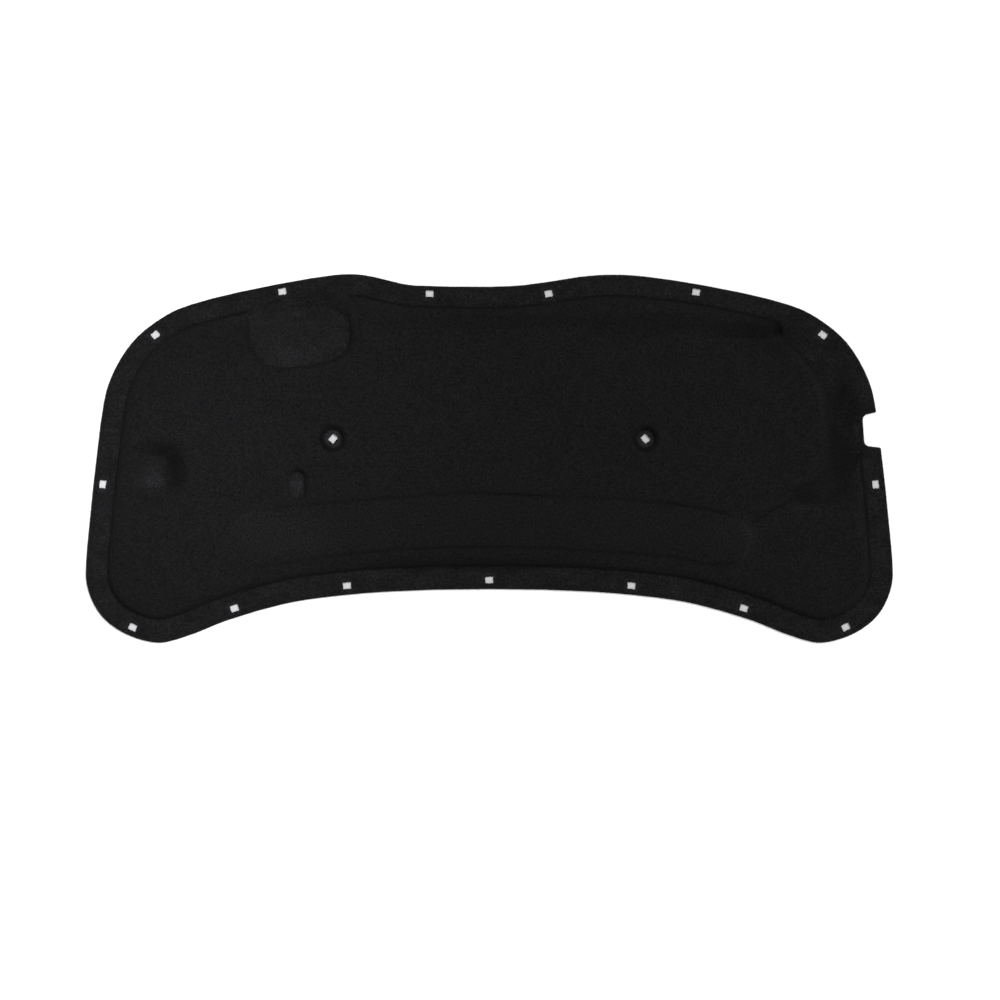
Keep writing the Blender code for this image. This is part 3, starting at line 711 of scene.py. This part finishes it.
def feltMaterial():
    look = {
        "base": (0.0048, 0.00485, 0.0051, 1),
        "roughness": 0.95,
        "specular": 0.08,
        "sheen": 0.02, "sheenRoughness": 0.5,
        "pressedShare": 0.3,     # pressed felt is that much lighter
        # lighter on convex bends: drawn felt, and a painted highlight
        "drawnAndHighlightShare": 0.5,
        "paintedFootShadeShare": 0.68,     # and painted shade at a foot that much darker
        "grainScale": 330, "grainShare": 2.9,
        "mottleScale": 26, "mottleRange": (0.93, 1.07),
        "patches": ((210, 1.3), (75, 0.6), (27, 0.95)),    # scale and share on pressed felt
        "lintScale": 18,         # stray specks about 55 mm apart
        "lintSize": (0.008, 0.02), "lintTone": 1.9,
        "fibreScale": 900, "fibreStretch": 0.15, "fibreTurns": (0.5, 2.1),
        "bumpStrength": 0.5, "bumpDistance": 0.4 * mm,
    }
    material = bpy.data.materials.new("blackFelt")
    material.use_nodes = True
    tree = material.node_tree
    link = tree.links.new
    shader = tree.nodes["Principled BSDF"]
    shader.inputs["Roughness"].default_value = look["roughness"]
    shader.inputs["Specular IOR Level"].default_value = look["specular"]
    shader.inputs["Sheen Weight"].default_value = look["sheen"]
    shader.inputs["Sheen Roughness"].default_value = look["sheenRoughness"]
    where = tree.nodes.new("ShaderNodeTexCoord").outputs["Object"]

    def worked(operation, *values):
        node = tree.nodes.new("ShaderNodeMath")
        node.operation = operation
        for socket, value in zip(node.inputs, values):
            if isinstance(value, (int, float)):
                socket.default_value = value
            else:
                link(value, socket)
        return node.outputs[0]

    def changed(tone, mask, share):
        # The tone times 1 + mask * share
        return worked("MULTIPLY", tone, worked("MULTIPLY_ADD", mask, share, 1))

    def above(texture):
        return worked("SUBTRACT", texture, 0.5)

    def attribute(name):
        node = tree.nodes.new("ShaderNodeAttribute")
        node.attribute_name = name
        return node.outputs["Fac"]

    def noiseTexture(scale, detail, roughness, stretch=None):
        # Stretch is a turn about Z and then a scale along Y
        node = tree.nodes.new("ShaderNodeTexNoise")
        node.inputs["Scale"].default_value = scale
        node.inputs["Detail"].default_value = detail
        node.inputs["Roughness"].default_value = roughness
        at = where
        if stretch:
            mapping = tree.nodes.new("ShaderNodeMapping")
            mapping.inputs["Rotation"].default_value = (0, 0, stretch[0])
            mapping.inputs["Scale"].default_value = (1, stretch[1], 1)
            link(where, mapping.inputs["Vector"])
            at = mapping.outputs[0]
        link(at, node.inputs["Vector"])
        return node.outputs["Fac"]

    def ranged(value, low, high, toLow, toHigh):
        node = tree.nodes.new("ShaderNodeMapRange")
        numbers = {"From Min": low, "From Max": high, "To Min": toLow, "To Max": toHigh}
        for name, number in numbers.items():
            node.inputs[name].default_value = number
        link(value, node.inputs["Value"])
        return node.outputs["Result"]

    pressed = attribute("pressed")
    tone = worked("MULTIPLY_ADD", pressed, look["pressedShare"], 1)
    # lighter on convex bends, partly a painted highlight
    tone = changed(tone, attribute("drawn"), look["drawnAndHighlightShare"])
    # painted shade at the feet of the walls
    tone = changed(tone, attribute("paintedFootShade"), -look["paintedFootShadeShare"])
    # the painted shade and highlights from the marks
    tone = worked("MULTIPLY", tone, attribute("shade"))
    clumps = noiseTexture(look["grainScale"], 2, 0.6)
    tone = changed(tone, above(clumps), look["grainShare"])
    mottle = noiseTexture(look["mottleScale"], 3, 0.6, (0.2, 1.6))
    tone = worked("MULTIPLY", tone, ranged(mottle, 0.3, 0.7, *look["mottleRange"]))
    for scale, share in look["patches"]:
        patches = worked("MULTIPLY", above(noiseTexture(scale, 2, 0.5, (0, 1.4))), pressed)
        tone = changed(tone, patches, share)
    lint = tree.nodes.new("ShaderNodeTexVoronoi")
    lint.inputs["Scale"].default_value = look["lintScale"]
    link(where, lint.inputs["Vector"])
    specks = ranged(lint.outputs["Distance"], *look["lintSize"], look["lintTone"], 1.0)
    tone = worked("MULTIPLY", tone, specks)
    coloured = tree.nodes.new("ShaderNodeMix")
    coloured.data_type = "RGBA"
    coloured.blend_type = "MULTIPLY"
    coloured.inputs[0].default_value = 1
    coloured.inputs[6].default_value = look["base"]
    link(tone, coloured.inputs[7])
    link(coloured.outputs[2], shader.inputs["Base Color"])
    fibres = worked("ADD", *[noiseTexture(look["fibreScale"], 2, 0.6, (turn, look["fibreStretch"]))
                             for turn in look["fibreTurns"]])
    bump = tree.nodes.new("ShaderNodeBump")
    bump.inputs["Strength"].default_value = look["bumpStrength"]
    bump.inputs["Distance"].default_value = look["bumpDistance"]
    link(worked("ADD", clumps, fibres), bump.inputs["Height"])
    link(bump.outputs["Normal"], shader.inputs["Normal"])
    return material


def makeFuzz():
    # Loose fibres along the die-cut edges and here and there on the felt
    fibres = {
        "edgeStep": 5 * mm, "edgeInset": 0.5 * mm,
        "between": (0.45, 0.85),     # share of the thickness at which they leave the cut
        "swing": 0.5, "lift": (0.15, 0.3),
        "strewn": 420, "strewnAbove": 3 * mm, "strewnSink": 0.1 * mm, "strewnLift": (0.15, 0.6),
        "length": (1.2 * mm, 3.4 * mm),
        "radius": 0.07 * mm,
        "taper": ((0, 1.0), (0.35, 0.9), (0.7, 0.65), (1, 0.2)),    # share of length and radius
        "curl": 0.35,
        "lowest": 0.3 * mm,
        "sides": 3,
        "marks": {"pressed": 0.6, "drawn": 0.0, "paintedFootShade": 0.0, "shade": 1.2},
    }
    random = np.random.default_rng(7)
    starts, headings = [], []
    for number, ring in enumerate(cuts):
        outwards = outwardOf(ring, number > 0)
        around = np.sum(np.linalg.norm(np.roll(ring, -1, axis=0) - ring, axis=1))
        for index in random.integers(0, len(ring), int(around / fibres["edgeStep"])):
            x, y = ring[index] - outwards[index] * fibres["edgeInset"]
            low, high = [float(np.nan_to_num(readMap(m, origin, [(x, y)])[0], nan=0.0))
                         for m in (under, soft)]
            starts.append((x, y, low + (high - low) * random.uniform(*fibres["between"])))
            swing = random.normal(0, fibres["swing"], 2)
            headings.append((*(outwards[index] + swing), random.normal(*fibres["lift"])))
    tops = [v.co for v in padMesh.vertices if v.co.z > fibres["strewnAbove"]]
    for index in random.integers(0, len(tops), fibres["strewn"]):
        angle = random.uniform(0, 2 * math.pi)
        starts.append((tops[index].x, tops[index].y, tops[index].z - fibres["strewnSink"]))
        headings.append((math.cos(angle), math.sin(angle), random.uniform(*fibres["strewnLift"])))

    bm = bmesh.new()
    turns = [2 * math.pi * side / fibres["sides"] for side in range(fibres["sides"])]
    for start, heading in zip(starts, headings):
        along = Vector(heading).normalized()
        square = along.cross(Vector((0, 0, 1)))
        square = square.normalized() if square.length > 0.01 else Vector((1, 0, 0))
        other = along.cross(square)
        length = random.uniform(*fibres["length"])
        curl = Vector(random.normal(0, fibres["curl"], 3)) * length
        rings = []
        for share, thick in fibres["taper"]:
            centre = Vector(start) + along * length * share + curl * share * share
            centre.z = max(centre.z, fibres["lowest"])
            spokes = [square * math.cos(turn) + other * math.sin(turn) for turn in turns]
            radius = fibres["radius"] * thick
            rings.append([bm.verts.new(centre + spoke * radius) for spoke in spokes])
        for near, far in zip(rings, rings[1:]):
            for side in range(len(near)):
                after = (side + 1) % len(near)
                bm.faces.new((near[side], near[after], far[after], far[side]))
        bm.faces.new(rings[0][::-1])
        bm.faces.new(rings[-1])
    bmesh.ops.recalc_face_normals(bm, faces=bm.faces)
    mesh = bpy.data.meshes.new("loose_fibres")
    bm.to_mesh(mesh)
    bm.free()
    smoothShaded(mesh)
    for name, value in fibres["marks"].items():
        addAttribute(mesh, name, np.full(len(mesh.vertices), value))
    print("loose fibres: %d" % len(starts))
    return addObject("loose_fibres", mesh)


blackFelt = feltMaterial()
fuzz = makeFuzz()
fuzz.data.materials.append(blackFelt)
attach(fuzz, "root")
padMesh.materials.append(blackFelt)
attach(pad, "root")
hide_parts("insulation_pad")
print("felt finished")

# Floor, light and camera
studio = {
    "floorSize": 14.0,
    "floorTone": 0.88, "floorGlow": 0.12,
    "shadedTone": 0.51,               # greyer under the pad, where no light comes
    "underInset": 5 * mm, "underLeast": 6 * mm,
    "frameWidth": 1.5375,             # how much of the floor the picture spans
    "centre": (0.0164, -0.0637),      # point of the floor under the camera
    "height": 4.6,
    "filmWidth": 36,
    "worldLight": 0.75,
    "keyFrom": (45, 50),              # azimuth and elevation in degrees
    "keySpread": 22, "keyPower": 2.0,
    "poolPlace": (0.6, 0.9, 2.4), "poolAim": (-0.50, -0.02, 0),
    "poolWidth": 12.7,                # degrees
    "poolPower": 295, "poolColour": (0.97, 0.98, 1.08),
    "poolSoft": 0.3, "poolBlend": 0.75,
}


def paleMaterial(name, tone, glow):
    material = bpy.data.materials.new(name)
    material.use_nodes = True
    tree = material.node_tree
    shader = tree.nodes["Principled BSDF"]
    shader.inputs["Base Color"].default_value = (tone, tone, tone, 1)
    shader.inputs["Roughness"].default_value = 0.9
    shader.inputs["Specular IOR Level"].default_value = 0.1
    shader.inputs["Emission Color"].default_value = (1, 1, 1, 1)
    path = tree.nodes.new("ShaderNodeLightPath")
    seen = tree.nodes.new("ShaderNodeMath")
    seen.operation = "MULTIPLY"
    seen.inputs[1].default_value = glow
    tree.links.new(path.outputs["Is Camera Ray"], seen.inputs[0])
    tree.links.new(seen.outputs[0], shader.inputs["Emission Strength"])
    return material


def insideRing(point, ring):
    a, b = ring, np.roll(ring, -1, axis=0)
    crosses = (a[:, 1] > point[1]) != (b[:, 1] > point[1])
    rise = np.where(crosses, b[:, 1] - a[:, 1], 1)
    across = a[:, 0] + (point[1] - a[:, 1]) / rise * (b[:, 0] - a[:, 0])
    return np.sum(crosses & (point[0] < across)) % 2 == 1


def makeFloor():
    # A pale floor, greyer under the pad where no light comes
    half = studio["floorSize"] / 2
    corners = [Vector(p) for p in ((-half, -half), (half, -half), (half, half), (-half, half))]
    inset = cuts[0] - outwardOf(cuts[0], False) * studio["underInset"]
    inset = [Vector(p) for p in withoutCrowding(inset, studio["underLeast"])]
    edges = [(4 + i, 4 + (i + 1) % len(inset)) for i in range(len(inset))]
    found = delaunay_2d_cdt(corners + inset, edges, [[0, 1, 2, 3]], 1, 0.01 * mm)
    mesh = bpy.data.meshes.new("floor")
    mesh.from_pydata([(v.x, v.y, 0) for v in found[0]], [], found[2])
    outline = np.array(inset)
    for polygon in mesh.polygons:
        polygon.material_index = int(insideRing(np.array(polygon.center[:2]), outline))
    mesh.materials.append(paleMaterial("paleFloor", studio["floorTone"], studio["floorGlow"]))
    mesh.materials.append(paleMaterial("shadedFloor", studio["shadedTone"], 0.0))
    floor = addObject("floor", mesh)


def makeWorld():
    world = bpy.data.worlds.new("paleRoom")
    bpy.context.scene.world = world
    world.use_nodes = True
    tree = world.node_tree
    tree.nodes.clear()
    output = tree.nodes.new("ShaderNodeOutputWorld")
    room = tree.nodes.new("ShaderNodeBackground")
    room.inputs["Color"].default_value = (1, 1, 1, 1)
    room.inputs["Strength"].default_value = studio["worldLight"]
    seen = tree.nodes.new("ShaderNodeBackground")
    seen.inputs["Color"].default_value = (1, 1, 1, 1)
    seen.inputs["Strength"].default_value = 1
    path = tree.nodes.new("ShaderNodeLightPath")
    mix = tree.nodes.new("ShaderNodeMixShader")
    tree.links.new(path.outputs["Is Camera Ray"], mix.inputs[0])
    tree.links.new(room.outputs[0], mix.inputs[1])
    tree.links.new(seen.outputs[0], mix.inputs[2])
    tree.links.new(mix.outputs[0], output.inputs["Surface"])


def makeKey():
    # Large even light from the front right
    light = bpy.data.lights.new("key", "SUN")
    light.energy = studio["keyPower"]
    light.angle = math.radians(studio["keySpread"])
    azimuth, elevation = [math.radians(a) for a in studio["keyFrom"]]
    flat = math.cos(elevation)
    towards = Vector((math.cos(azimuth) * flat, math.sin(azimuth) * flat, math.sin(elevation)))
    lamp = addObject("key", light)
    lamp.rotation_euler = (-towards).to_track_quat("-Z", "Y").to_euler()


def makePool():
    # Soft pool of light on the left end
    light = bpy.data.lights.new("pool", "SPOT")
    light.energy = studio["poolPower"]
    light.color = studio["poolColour"]
    light.shadow_soft_size = studio["poolSoft"]
    light.spot_size = math.radians(studio["poolWidth"])
    light.spot_blend = studio["poolBlend"]
    lamp = addObject("pool", light)
    lamp.location = studio["poolPlace"]
    aim = Vector(studio["poolAim"]) - lamp.location
    lamp.rotation_euler = aim.to_track_quat("-Z", "Y").to_euler()


def makeCamera():
    lens = bpy.data.cameras.new("camera")
    lens.sensor_width = studio["filmWidth"]
    lens.lens = studio["filmWidth"] * studio["height"] / studio["frameWidth"]
    camera = addObject("camera", lens)
    camera.location = (*studio["centre"], studio["height"])
    bpy.context.scene.camera = camera


makeFloor()
makeWorld()
makeKey()
makePool()
makeCamera()
bpy.context.scene.view_settings.view_transform = "Standard"
print("studio ready")
